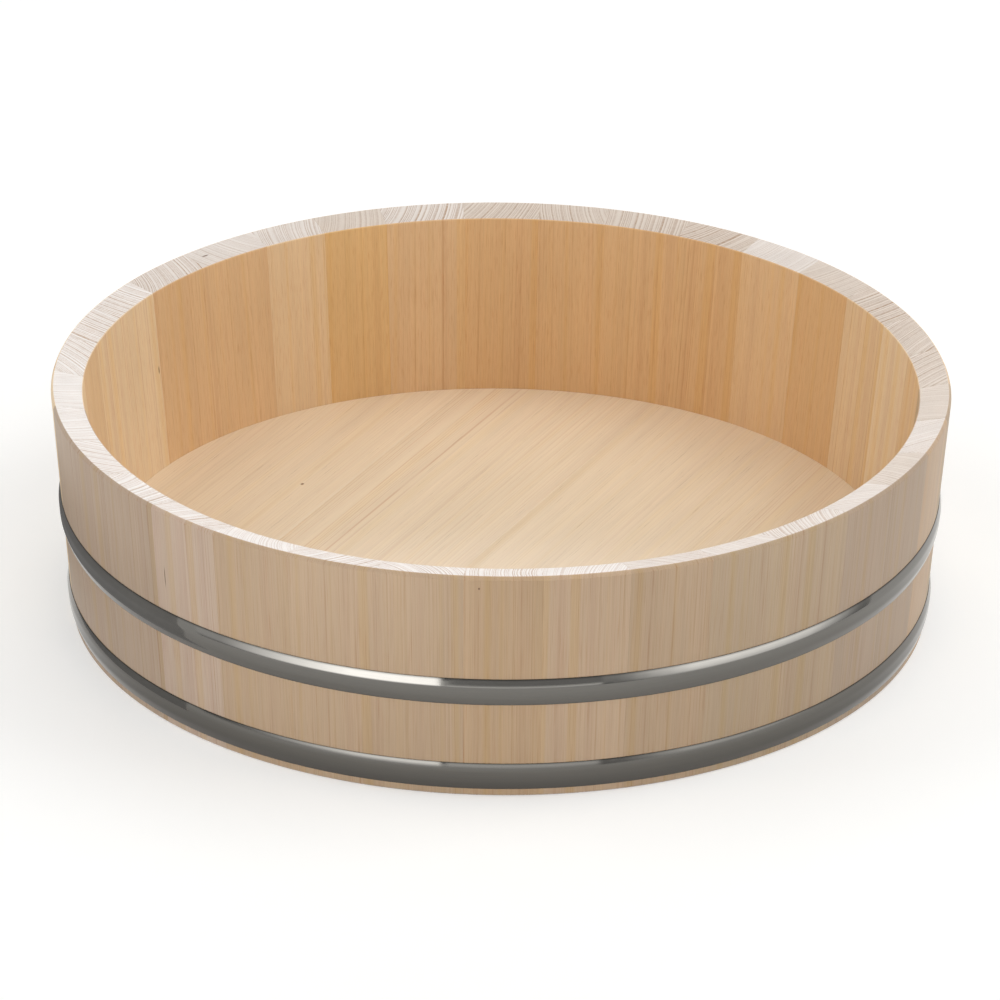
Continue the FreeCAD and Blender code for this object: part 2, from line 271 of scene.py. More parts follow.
def new_piece(name, shape, material):
    """Make an object of a finished shape, shaded smooth apart from its sharp edges."""
    bmesh.ops.recalc_face_normals(shape, faces=shape.faces)
    mesh = bpy.data.meshes.new(name)
    shape.to_mesh(mesh)
    shape.free()
    mesh.materials.append(material)
    mesh.polygons.foreach_set("use_smooth", [True] * len(mesh.polygons))
    mesh.set_sharp_from_angle(angle=SHARP_ANGLE)
    piece = bpy.data.objects.new(name, mesh)
    bpy.context.scene.collection.objects.link(piece)
    return piece


def skin(shape, rings, closed=False):
    """Join each ring of points to the next with faces, and close the ends of an open row."""
    before, after = (rings[-1:] + rings[:-1], rings) if closed else (rings[:-1], rings[1:])
    for ring, following in zip(before, after):
        for place in range(len(ring)):
            shape.faces.new((ring[place - 1], ring[place], following[place],
                             following[place - 1]))
    if not closed:
        shape.faces.new(rings[0])
        shape.faces.new(reversed(rings[-1]))


def stand_for(piece, node):
    """Let a dressed piece take the place of its CAD node."""
    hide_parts(node)
    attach(piece, "root")


def wall_corners(sizes):
    """The wall's section: up the outer face, over the bevelled rim and down the inner face."""
    outer_slope = (sizes.rim_radius - sizes.foot_radius) / sizes.height
    rim_inner = sizes.rim_radius - sizes.rim_wall
    rim_inner_level = sizes.height - sizes.rim_drop
    foot_inner = sizes.foot_radius - sizes.foot_wall
    inner_slope = (rim_inner - foot_inner) / rim_inner_level
    chamfer = 1.2 * MM
    bevel_foot = sizes.height - sizes.bevel_height
    groove = foot_inner + inner_slope * sizes.floor_top + sizes.groove_depth
    return [
        (sizes.foot_radius - chamfer, 0.0, 0.3 * MM),
        (sizes.foot_radius + outer_slope * chamfer, chamfer, 0.4 * MM),
        (sizes.foot_radius + outer_slope * bevel_foot, bevel_foot, 1.2 * MM),
        (sizes.rim_radius - sizes.bevel_width, sizes.height, 0.7 * MM),
        (rim_inner, rim_inner_level, 0.8 * MM),
        (foot_inner + inner_slope * sizes.floor_top, sizes.floor_top, 0.15 * MM),
        (groove, sizes.floor_top, 0),
        (groove, sizes.floor_bottom, 0),
        (foot_inner + inner_slope * sizes.floor_bottom, sizes.floor_bottom, 0.15 * MM),
        (foot_inner + inner_slope * chamfer, chamfer, 0.4 * MM),
        (foot_inner + chamfer, 0.0, 0.3 * MM),
    ]


def stave_angles(node):
    """The angles of a stave's two joint faces, read from its place in the frame."""
    points = [vertex.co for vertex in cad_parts[node].data.vertices]
    middle = sum((Vector((point.x, point.y)) for point in points), Vector((0, 0)))
    facing = math.atan2(middle.y, middle.x)
    turn = Matrix.Rotation(-facing, 2)
    spread = [math.atan2(*(turn @ Vector((point.x, point.y))).yx) for point in points]
    return facing + min(spread), facing + max(spread)


# Wood

def planed_cypress(name, line_strength, evenness, cell_strength, band_strength, gloss):
    """Sawara cypress, planed across its face and left bare: pale silky wood, whose yearly
    rings show as thin warm lines along the grain and as arcs where the ends are sanded."""
    material, tree, shader = start_material(name)
    colours = bpy.context.scene.tub_colours

    painted = {"grain": "Vector", "shade": "Color", "end_shade": "Color", "ring_gap": "Fac",
               "figure": "Fac", "end_grain": "Fac", "slant": "Fac", "fleck": "Vector"}
    grain, shade, end_shade, ring_gap, figure, end_grain, slant, fleck = (
        add_node(tree, "Attribute", {"attribute_name": layer}).outputs[socket]
        for layer, socket in painted.items())

    # Patterns in the wood: spots per millimetre across and along the grain, detail, roughness
    patterns = {
        # The trunk's rings wander by a few millimetres over the length of a hand
        "wander": (0.015, 0.0015, 2.0, 0.5),
        # The plane's blade leaves the lines clear in one place and faint in the next
        "patches": (0.5, 0.025, 2.0, 0.5),
        # Fibres run along the grain: real ones are 0.03 mm wide and can't show, so these
        # streaks are drawn as bundles about half a millimetre wide
        "fibre": (1.9, 0.035, 3.0, 0.6),
        # Resin cells show as short brown ticks along the grain
        "cells": (4.4, 0.03, 2.0, 0.5),
        # Light and dark clouds about a centimetre across
        "cloud": (0.09, 0.009, 2.0, 0.5),
    }
    noises = {}
    for pattern, (across, along, detail, roughness) in patterns.items():
        spots = add_node(tree, "VectorMath", {"operation": "MULTIPLY"},
                         {0: grain, 1: (across, across, along)})
        noises[pattern] = add_node(tree, "TexNoise", None,
                                   {"Vector": spots.outputs[0], "Scale": 1.0,
                                    "Detail": detail, "Roughness": roughness}).outputs

    centred = add_node(tree, "VectorMath", {"operation": "SUBTRACT"},
                       {0: noises["wander"]["Color"], 1: (0.5, 0.5, 0.5)})
    shift = add_node(tree, "VectorMath", {"operation": "MULTIPLY"},
                     {0: centred.outputs[0], 1: (4.0, 4.0, 0.0)})
    bent = add_node(tree, "VectorMath", {"operation": "ADD"}, {0: grain, 1: shift.outputs[0]})
    flat = add_node(tree, "VectorMath", {"operation": "MULTIPLY"},
                    {0: bent.outputs[0], 1: (1.0, 1.0, 0.0)})
    from_pith = add_node(tree, "VectorMath", {"operation": "LENGTH"}, {0: flat.outputs[0]})

    # Years differ in width, so the count of rings is itself pushed about
    even = add_node(tree, "Math", {"operation": "DIVIDE"},
                    {0: from_pith.outputs["Value"], 1: ring_gap})
    weather = add_node(tree, "TexNoise", {"noise_dimensions": "1D"},
                       {"W": even.outputs[0], "Scale": 0.3, "Detail": 1.0})
    years = add_node(tree, "Math", {"operation": "MULTIPLY_ADD"},
                     {0: weather.outputs["Fac"], 1: 3.4, 2: even.outputs[0]})
    season = add_node(tree, "Math", {"operation": "FRACT"}, {0: years.outputs[0]})
    year = add_node(tree, "Math", {"operation": "FLOOR"}, {0: years.outputs[0]})
    # Within each year the wood darkens from soft to dense, and then ends at once
    soft_wood = add_node(tree, "MapRange", None, {"Value": end_grain, "To Min": 0.58,
                                                  "To Max": 0.25})
    rise = add_node(tree, "MapRange", {"interpolation_type": "SMOOTHSTEP"},
                    {"Value": season.outputs[0], "From Min": soft_wood.outputs[0],
                     "From Max": 0.92})
    fall = add_node(tree, "MapRange", {"interpolation_type": "SMOOTHSTEP"},
                    {"Value": season.outputs[0], "From Min": 0.92, "From Max": 1.0,
                     "To Min": 1.0, "To Max": 0.0})
    dense = add_node(tree, "Math", {"operation": "MULTIPLY"},
                     {0: rise.outputs[0], 1: fall.outputs[0]})
    luck = add_node(tree, "TexWhiteNoise", {"noise_dimensions": "1D"}, {"W": year.outputs[0]})
    # Sandpaper leaves the lines of the ends more even than the plane leaves the faces
    least = add_node(tree, "MapRange", None, {"Value": end_grain, "To Min": evenness,
                                              "To Max": 0.6})
    vigour = add_node(tree, "MapRange", None, {"Value": luck.outputs["Value"],
                                               "From Min": 0.2, "To Min": least.outputs[0]})
    strong = add_node(tree, "Math", {"operation": "MULTIPLY"},
                      {0: dense.outputs[0], 1: vigour.outputs[0]})
    faint = add_node(tree, "MapRange", None, {"Value": end_grain, "To Min": 0.3,
                                              "To Max": 0.7})
    clear = add_node(tree, "MapRange", {"interpolation_type": "SMOOTHSTEP"},
                     {"Value": noises["patches"]["Fac"], "From Min": 0.35, "From Max": 0.62,
                      "To Min": faint.outputs[0]})
    line = add_node(tree, "Math", {"operation": "MULTIPLY"},
                    {0: strong.outputs[0], 1: clear.outputs[0]})
    drawn = add_node(tree, "Math", {"operation": "MULTIPLY"}, {0: line.outputs[0], 1: figure})
    cut_across = add_node(tree, "Math", {"operation": "MAXIMUM"}, {0: end_grain, 1: slant})
    strength = add_node(tree, "MapRange", None, {"Value": cut_across.outputs[0],
                                                 "To Min": line_strength, "To Max": 1.1})

    ticks = add_node(tree, "MapRange", {"interpolation_type": "SMOOTHSTEP"},
                     {"Value": noises["cells"]["Fac"], "From Min": 0.55, "From Max": 0.7,
                      "To Max": cell_strength})
    stain = add_node(tree, "Math", {"operation": "MULTIPLY_ADD", "use_clamp": True},
                     {0: drawn.outputs[0], 1: strength.outputs[0], 2: ticks.outputs[0]})

    # A run of wet or dry years leaves a band 5 to 10 mm broad, golden or a little pink
    spell = add_node(tree, "TexNoise", {"noise_dimensions": "1D"},
                     {"W": from_pith.outputs["Value"], "Scale": 0.12, "Detail": 2.0})
    side_face = add_node(tree, "MapRange", None, {"Value": end_grain,
                                                  "To Min": band_strength, "To Max": 0.0})
    gold = add_node(tree, "MapRange", {"interpolation_type": "SMOOTHSTEP"},
                    {"Value": spell.outputs["Fac"], "From Min": 0.5, "From Max": 0.72,
                     "To Max": side_face.outputs[0]})
    pink = add_node(tree, "MapRange", {"interpolation_type": "SMOOTHSTEP"},
                    {"Value": spell.outputs["Fac"], "From Min": 0.5, "From Max": 0.28,
                     "To Max": side_face.outputs[0]})

    # A fleck of resin or a pin knot, dark at its middle
    from_fleck = add_node(tree, "VectorMath", {"operation": "LENGTH"}, {0: fleck})
    resin = add_node(tree, "MapRange", {"interpolation_type": "SMOOTHSTEP"},
                     {"Value": from_fleck.outputs["Value"], "From Min": 1.0,
                      "From Max": 0.3})

    body = add_node(tree, "Mix", {"data_type": "RGBA"},
                    {SHARE: end_grain, UNDER: shade, OVER: end_shade})
    ring_tint = add_node(tree, "Mix", {"data_type": "RGBA"},
                         {SHARE: end_grain, UNDER: (*colours.latewood, 1),
                          OVER: (*colours.end_latewood, 1)}).outputs[MIXED]
    for amount, tint in ((stain, ring_tint), (gold, (*linear("#FDF6E0"), 1)),
                         (pink, (*linear("#F8F3F3"), 1)), (resin, (*linear("#84664E"), 1))):
        body = add_node(tree, "Mix", {"data_type": "RGBA", "blend_type": "MULTIPLY"},
                        {SHARE: amount.outputs[0], UNDER: body.outputs[MIXED], OVER: tint})

    fibre = noises["fibre"]["Fac"]
    fibre_light = add_node(tree, "MapRange", None,
                           {"Value": fibre, "From Min": 0.25, "From Max": 0.75,
                            "To Min": 0.955, "To Max": 1.045})
    cloud_light = add_node(tree, "MapRange", None,
                           {"Value": noises["cloud"]["Fac"], "From Min": 0.3,
                            "From Max": 0.7, "To Min": 0.97, "To Max": 1.03})
    spring = add_node(tree, "MapRange", None,
                      {"Value": season.outputs[0], "To Min": 1.025, "To Max": 0.985})
    # Painted shade: the bevel, cut on the slant, is drawn a little darker than the wood beside it
    bevel_painted_shade = add_node(tree, "MapRange", None, {"Value": slant, "To Min": 1.0,
                                                "To Max": 0.96})
    light = fibre_light
    for share in (cloud_light, spring, bevel_painted_shade):
        light = add_node(tree, "Math", {"operation": "MULTIPLY"},
                         {0: light.outputs[0], 1: share.outputs[0]})
    coloured = add_node(tree, "VectorMath", {"operation": "SCALE"},
                        {0: body.outputs[MIXED], "Scale": light.outputs[0]})
    tree.links.new(coloured.outputs[0], shader.inputs["Base Color"])

    # Bundles of fibres differ a little in gloss, and stand a hair proud of each other
    gloss_range = add_node(tree, "MapRange", None,
                           {"Value": fibre, "From Min": 0.3, "From Max": 0.7,
                            "To Min": gloss - 0.05, "To Max": gloss + 0.05})
    tree.links.new(gloss_range.outputs[0], shader.inputs["Roughness"])
    bump = add_node(tree, "Bump", None, {"Strength": 0.35, "Distance": 0.00006,
                                         "Height": fibre})
    tree.links.new(bump.outputs[0], shader.inputs["Normal"])
    shader.inputs["IOR"].default_value = 1.5
    return material


def paint_points(mesh, name, kind, values):
    """Store one value for each point of a mesh, for its material to read."""
    layer = mesh.attributes.new(name, kind, "POINT")
    if kind == "FLOAT":
        layer.data.foreach_set("value", values)
    elif kind == "FLOAT_VECTOR":
        layer.data.foreach_set("vector", [part for value in values for part in value])
    else:
        layer.data.foreach_set("color", [part for value in values for part in (*value, 1)])


# The one dark fleck of each piece that has one: its middle across, in depth and along the
# grain, and its reach each way, in millimetres
FLECKS = {"stave_11": ((-14.6, -8.8, 127.4), (3.2, 0.7, 2.0)),
          "stave_13": ((16.6, -18.4, 80.9), (0.6, 2.0, 3.0)),
          "stave_20": ((15.0, -0.5, 89.7), (0.4, 2.0, 8.0)),
          "stave_24": ((12.2, -0.3, 122.2), (0.6, 2.0, 0.9)),
          "floor_board_1": ((-135.7, 24.0, 26.8), (1.2, 6.0, 1.7))}


def paint_fleck(mesh, node, places):
    """Store how far each point lies from its piece's fleck, in reaches of that fleck."""
    middle, reach = FLECKS.get(node, ((0, 0, -9000), (1, 1, 1)))
    paint_points(mesh, "fleck", "FLOAT_VECTOR",
                 [[(part - centre) / size for part, centre, size in zip(place, middle, reach)]
                  for place in places])


# Staves in the order they stand: a letter for the shade of each, and one for its ends
SHADES = {"C": "cream", "S": "straw", "H": "honey", "G": "gold", "A": "amber", "E": "pearl",
          "L": "linen", "N": "sand", "F": "fawn", "P": "ash", "D": "drab"}
END_SHADES = {"W": "white_lit_end", "B": "beige_end", "D": "dusky_shaded_end"}
# Stave shades are partly the staves' own tones and partly painted light: lighter for staves whose
# inner face shows, duller for those whose outer face shows
STAVE_TONES_AND_LIGHT = "SAHAAAAHGSHHCCSCDDDELLLFNLPPDDNPSC"
# End shades are partly the ends' own tones and partly painted light: white where the rim lies
# brighter at the front and left, dusky at the back and right
STAVE_END_TONES_AND_LIGHT = "DDBDDDDBDBBBWWWWWWWWWWWWWBBBBDBDDD"


class TUB_OT_staves(bpy.types.Operator):
    """Dress the thirty-four staves of the wall"""

    bl_idname = "tub.staves"
    bl_label = "Staves"

    def execute(self, context):
        sizes = context.scene.tub_sizes
        material = planed_cypress("Sawara cypress, planed staves", 0.5, 0.12, 0.35, 0.65, 0.48)
        outline = rounded(wall_corners(sizes), 5)
        dice = random.Random(34)
        for number, node in enumerate(STAVE_NODES):
            self.make_stave(context, number, node, outline, material, dice)
        return {"FINISHED"}

    def make_stave(self, context, number, node, outline, material, dice):
        sizes = context.scene.tub_sizes
        start, end = stave_angles(node)
        ease = sizes.joint_ease
        edge = ease / sizes.rim_radius
        steps = 12
        inner = [start + (end - start) * step / steps for step in range(1, steps)]
        angles = [start, start + 0.6 * edge, start + 2 * edge, *inner]
        angles += [end - 2 * edge, end - 0.6 * edge, end]
        insets = [ease, 0.35 * ease, 0, *[0] * len(inner), 0, 0.35 * ease, ease]

        shape = bmesh.new()
        rings = []
        for angle, inset in zip(angles, insets):
            section = shrunk(outline, inset) if inset else outline
            rings.append([shape.verts.new((point.x * math.cos(angle),
                                           point.x * math.sin(angle), point.y))
                          for point in section])
        skin(shape, rings)
        piece = new_piece(f"dressed_{node}", shape, material)
        self.paint_wood(context, piece.data, number, (start + end) / 2, len(rings),
                        outline, dice)
        stand_for(piece, node)

    def paint_wood(self, context, mesh, number, facing, ring_count, outline, dice):
        """Say where each point of the stave lay in the tree it was split from."""
        sizes = context.scene.tub_sizes
        colours = context.scene.tub_colours
        shade = tuple(getattr(colours, SHADES[STAVE_TONES_AND_LIGHT[number]]))
        end_shade = tuple(getattr(colours, END_SHADES[STAVE_END_TONES_AND_LIGHT[number]]))
        cut = math.radians(dice.uniform(-35, 35) + dice.choice((0, 180)))
        from_pith = dice.uniform(45, 120)
        pith = (from_pith * math.cos(cut), from_pith * math.sin(cut))
        gap = dice.uniform(1.1, 1.9)
        along = 700.0 * number
        turn = Matrix.Rotation(math.pi / 2 - facing, 2)
        lean = (sizes.rim_radius - sizes.foot_radius) / sizes.height
        places = []
        for vertex in mesh.vertices:
            flat = turn @ Vector((vertex.co.x, vertex.co.y))
            depth = flat.y - sizes.foot_radius - lean * vertex.co.z
            places.append((flat.x / MM, depth / MM, vertex.co.z / MM))
        grain = [(x + pith[0], y + pith[1], z + along) for x, y, z in places]
        top = sizes.height - sizes.rim_drop - 0.05 * MM
        outer = sizes.rim_radius - sizes.bevel_width - 0.2 * MM
        inner = sizes.rim_radius - sizes.rim_wall + 0.5 * MM
        ends = [1.0 if point.y < 0.1 * MM or (point.y > top and inner < point.x < outer)
                else 0.0 for point in outline]
        # The bevel on the rim's outer edge, cut on the slant: its rings show stronger, and its colour
        # is a little darker, a painted shade
        bevel_foot = sizes.height - sizes.bevel_height - 0.3 * MM
        slant_and_shade_marks = [0.4 if point.y > bevel_foot and point.x > outer else 0.0
                  for point in outline]
        count = len(mesh.vertices)
        paint_points(mesh, "grain", "FLOAT_VECTOR", grain)
        paint_points(mesh, "slant", "FLOAT", slant_and_shade_marks * ring_count)
        paint_points(mesh, "shade", "FLOAT_COLOR", [shade] * count)
        paint_points(mesh, "end_shade", "FLOAT_COLOR", [end_shade] * count)
        paint_fleck(mesh, STAVE_NODES[number], places)
        paint_points(mesh, "ring_gap", "FLOAT", [gap] * count)
        paint_points(mesh, "figure", "FLOAT", [dice.uniform(0.35, 1.0)] * count)
        paint_points(mesh, "end_grain", "FLOAT", ends * ring_count)


# Floor boards: across the grain from the left, how strongly the rings show
FLOOR_FIGURE = ((-220, 0.3), (-160, 0.35), (-115, 0.25), (-112, 1.0), (-80, 1.0),
                (-77, 0.1), (-65, 0.1), (-62, 0.4), (-9, 0.35), (-8, 0.25), (43, 0.2),
                (45, 0.12), (81, 0.12), (84, 0.3), (102, 0.35), (105, 0.6), (220, 0.45))


class TUB_OT_floor_boards(bpy.types.Operator):
    """Dress the four boards of the floor"""

    bl_idname = "tub.floor_boards"
    bl_label = "Floor boards"

    def execute(self, context):
        material = planed_cypress("Sawara cypress, planed floor", 0.5, 0.6, 0.1, 0.25, 0.32)
        dice = random.Random(4)
        for number, node in enumerate(BOARD_NODES):
            self.make_board(context, number, node, material, dice)
        return {"FINISHED"}

    def make_board(self, context, number, node, material, dice):
        sizes = context.scene.tub_sizes
        turn = Matrix.Rotation(math.pi / 2 - sizes.grain_angle, 3, "Z")
        across = [(turn @ vertex.co).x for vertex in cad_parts[node].data.vertices]
        left, right = min(across), max(across)
        foot_inner = sizes.foot_radius - sizes.foot_wall
        rim_inner = sizes.rim_radius - sizes.rim_wall
        slope = (rim_inner - foot_inner) / (sizes.height - sizes.rim_drop)
        radius = foot_inner + slope * sizes.floor_top + sizes.groove_depth - sizes.board_play

        first = math.acos(max(-1, min(1, left / radius)))
        last = math.acos(max(-1, min(1, right / radius)))
        steps = max(12, int(abs(first - last) / math.radians(1.5)))
        places = [radius * math.cos(first + (last - first) * step / steps)
                  for step in range(steps + 1)]
        ease = 0.15 * MM
        insets = [0.0] * len(places)
        if left > -radius + MM:
            places[1:1] = [left + 0.5 * ease, left + 1.6 * ease]
            insets = [ease, 0.4 * ease, 0.0] + insets[1:]
        else:
            places[0] += 0.05 * MM
        if right < radius - MM:
            places[-1:-1] = [right - 1.6 * ease, right - 0.5 * ease]
            insets = insets[:-1] + [0.0, 0.4 * ease, ease]
        else:
            places[-1] -= 0.05 * MM

        shape = bmesh.new()
        chamfer = 1.5 * MM
        rings = []
        for place, inset in zip(places, insets):
            reach = math.sqrt(radius ** 2 - place ** 2)
            low_reach = math.sqrt(max((radius - chamfer) ** 2 - place ** 2, 0))
            top = sizes.floor_top - inset
            low = sizes.floor_bottom + inset
            section = [(-low_reach, low), (-reach, low + chamfer), (-reach, top)]
            section += [(reach * share, top) for share in (-0.98, -0.6, -0.2, 0.2, 0.6, 0.98)]
            section += [(reach, top), (reach, low + chamfer), (low_reach, low)]
            section += [(low_reach * share, low) for share in (0.5, 0, -0.5)]
            rings.append([shape.verts.new(turn.transposed() @ Vector((place, *point)))
                          for point in section])
        skin(shape, rings)
        bmesh.ops.remove_doubles(shape, verts=shape.verts, dist=1e-7)
        piece = new_piece(f"dressed_{node}", shape, material)
        self.paint_wood(context, piece.data, number, turn, dice)
        stand_for(piece, node)

    def paint_wood(self, context, mesh, number, turn, dice):
        colours = context.scene.tub_colours
        pith = (dice.choice((-1, 1)) * dice.uniform(180, 260), dice.uniform(30, 70))
        gap = (2.2, 2.3, 2.7, 2.4)[number]
        along = 900.0 * (number + 40)
        places = []
        for vertex in mesh.vertices:
            flat = turn @ vertex.co
            places.append((flat.x / MM, flat.z / MM, flat.y / MM))
        grain = [(x + pith[0], y + pith[1], z + along) for x, y, z in places]
        figure = [self.figure_at(place[0]) for place in places]
        count = len(mesh.vertices)
        paint_fleck(mesh, BOARD_NODES[number], places)
        paint_points(mesh, "grain", "FLOAT_VECTOR", grain)
        paint_points(mesh, "shade", "FLOAT_COLOR", [tuple(colours.floor)] * count)
        paint_points(mesh, "ring_gap", "FLOAT", [gap] * count)
        paint_points(mesh, "figure", "FLOAT", figure)
        paint_points(mesh, "end_grain", "FLOAT", [0.0] * count)

    def figure_at(self, across):
        """How strongly the rings show at a place across the floor."""
        for (left, low), (right, high) in zip(FLOOR_FIGURE, FLOOR_FIGURE[1:]):
            if left <= across <= right:
                return low + (high - low) * (across - left) / (right - left)
        return FLOOR_FIGURE[-1][1]


# Hoops

def rolled_steel():
    """Stainless strip, rolled crowned and polished along its length: a soft dark mirror,
    drawn out along the hoop by hair-fine scratches."""
    material, tree, shader = start_material("Stainless steel, rolled and polished")
    colours = bpy.context.scene.tub_colours
    run = add_node(tree, "Attribute", {"attribute_name": "run"}).outputs["Vector"]
    # Scratches of the polishing belt are 0.01 mm wide; they are drawn at 0.15 mm to show
    drawn_out = add_node(tree, "VectorMath", {"operation": "MULTIPLY"},
                         {0: run, 1: (0.02, 6.0, 6.0)})
    scratch = add_node(tree, "TexNoise", None, {"Vector": drawn_out.outputs[0], "Scale": 1.0,
                                                "Detail": 3.0, "Roughness": 0.6})
    patches = add_node(tree, "VectorMath", {"operation": "MULTIPLY"},
                       {0: run, 1: (0.02, 0.08, 0.08)})
    cloud = add_node(tree, "TexNoise", None, {"Vector": patches.outputs[0], "Scale": 1.0,
                                              "Detail": 2.0})
    both = add_node(tree, "Math", {"operation": "ADD"},
                    {0: scratch.outputs["Fac"], 1: cloud.outputs["Fac"]})
    rough = add_node(tree, "MapRange", None,
                     {"Value": both.outputs[0], "From Min": 0.7, "From Max": 1.3,
                      "To Min": 0.07, "To Max": 0.13})
    tree.links.new(rough.outputs[0], shader.inputs["Roughness"])
    bump = add_node(tree, "Bump", None, {"Strength": 0.15, "Distance": 0.00002,
                                         "Height": scratch.outputs["Fac"]})
    tree.links.new(bump.outputs[0], shader.inputs["Normal"])
    tint = add_node(tree, "MapRange", None,
                    {"Value": scratch.outputs["Fac"], "From Min": 0.3, "From Max": 0.7,
                     "To Min": 0.94, "To Max": 1.04})
    # Painted shade: the edge attribute turns the steel's colour dark along both edges of the strip
    # and, less strongly, towards its lower edge
    edge = add_node(tree, "Attribute", {"attribute_name": "edge"}).outputs["Fac"]
    steel_with_painted_shade = add_node(tree, "Mix", {"data_type": "RGBA"},
                    {SHARE: edge, UNDER: (*colours.steel, 1),
                     OVER: (*colours.shade_colour_on_hoop_edges, 1)})
    metal = add_node(tree, "VectorMath", {"operation": "SCALE"},
                     {0: steel_with_painted_shade.outputs[MIXED], "Scale": tint.outputs[0]})
    tree.links.new(metal.outputs[0], shader.inputs["Base Color"])
    shader.inputs["Metallic"].default_value = 1.0
    return material


class TUB_OT_hoops(bpy.types.Operator):
    """Dress the two steel hoops"""

    bl_idname = "tub.hoops"
    bl_label = "Hoops"

    def execute(self, context):
        material = rolled_steel()
        for node in ("lower_hoop", "upper_hoop"):
            self.make_hoop(context, node, material)
        return {"FINISHED"}

    def make_hoop(self, context, node, material):
        sizes = context.scene.tub_sizes
        low, high = (corner.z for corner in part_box(node))
        slope = (sizes.rim_radius - sizes.foot_radius) / sizes.height
        section = []
        steps = 24
        for step in range(steps + 1):
            share = (1 - math.cos(math.pi * step / steps)) / 2
            level = low + (high - low) * share
            shoulder = max(0.0, (abs(2 * share - 1) - 0.35) / 0.65)
            crown = 1 - shoulder ** 1.3
            out = sizes.hoop_edge + (sizes.hoop_bulge - sizes.hoop_edge) * crown
            section.append((sizes.foot_radius + slope * level + out, level))
        section.append((sizes.foot_radius + slope * high, high))
        section.append((sizes.foot_radius + slope * low, low))

        shape = bmesh.new()
        rings = []
        run = []
        reach = sizes.foot_radius / MM
        count = 360
        for step in range(count):
            angle = math.tau * step / count
            rings.append([shape.verts.new((across * math.cos(angle),
                                           across * math.sin(angle), level))
                          for across, level in section])
            run += [(reach * angle, reach, level / MM) for _, level in section]
        skin(shape, rings, closed=True)
        piece = new_piece(f"dressed_{node}", shape, material)
        paint_points(piece.data, "run", "FLOAT_VECTOR", run)
        # Painted shade low on the strip, stronger on the lower hoop, which mirrors the shaded floor
        # close to the tub
        dull = {"lower_hoop": 0.62, "upper_hoop": 0.32}[node]
        edges = [self.painted_edge_shade((level - low) / MM, (high - level) / MM, dull)
                 for _, level in section]
        paint_points(piece.data, "edge", "FLOAT", edges * count)
        stand_for(piece, node)

    def painted_edge_shade(self, from_low, from_high, dull):
        """Painted shade for the strip's colour: 1 on its edges, standing in for the shade and dark
        reflections along them, and a darkening that fades upward from its lower edge, as strong as
        dull says."""
        return max(0.0, min(1.0, 0.9 - min(from_high, 1.3 * from_low)),
                   dull - 0.034 * from_low)


# Pins: they stay as the frame has them, hidden in the joints

class TUB_OT_pins(bpy.types.Operator):
    """Dress the bamboo pins that are hidden in the joints"""

    bl_idname = "tub.pins"
    bl_label = "Bamboo pins"

    def execute(self, context):
        material = self.whittled_bamboo(context)
        for node in ("stave_pins", "floor_pins"):
            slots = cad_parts[node].data.materials
            for number in range(len(slots)):
                slots[number] = material
        return {"FINISHED"}

    def whittled_bamboo(self, context):
        """Bamboo split and whittled to a round: straw coloured, with dark fibre bundles that
        run along the pin and end as dots."""
        material, tree, shader = start_material("Bamboo, whittled pins")
        place = add_node(tree, "TexCoord").outputs["Object"]
        # Fibre bundles are about 0.4 mm apart
        bundles = add_node(tree, "TexVoronoi", None, {"Vector": place, "Scale": 2500.0})
        dots = add_node(tree, "MapRange", None, {"Value": bundles.outputs["Distance"],
                                                 "From Min": 0.15, "From Max": 0.4})
        colour = add_node(tree, "Mix", {"data_type": "RGBA"},
                          {SHARE: dots.outputs[0], UNDER: (*linear("#A58350"), 1),
                           OVER: (*context.scene.tub_colours.bamboo, 1)})
        tree.links.new(colour.outputs[MIXED], shader.inputs["Base Color"])
        rough = add_node(tree, "MapRange", None, {"Value": dots.outputs[0], "To Min": 0.45,
                                                  "To Max": 0.6})
        tree.links.new(rough.outputs[0], shader.inputs["Roughness"])
        bump = add_node(tree, "Bump", None, {"Strength": 0.3, "Distance": 0.00005,
                                             "Height": dots.outputs[0]})
        tree.links.new(bump.outputs[0], shader.inputs["Normal"])
        return material


# Studio

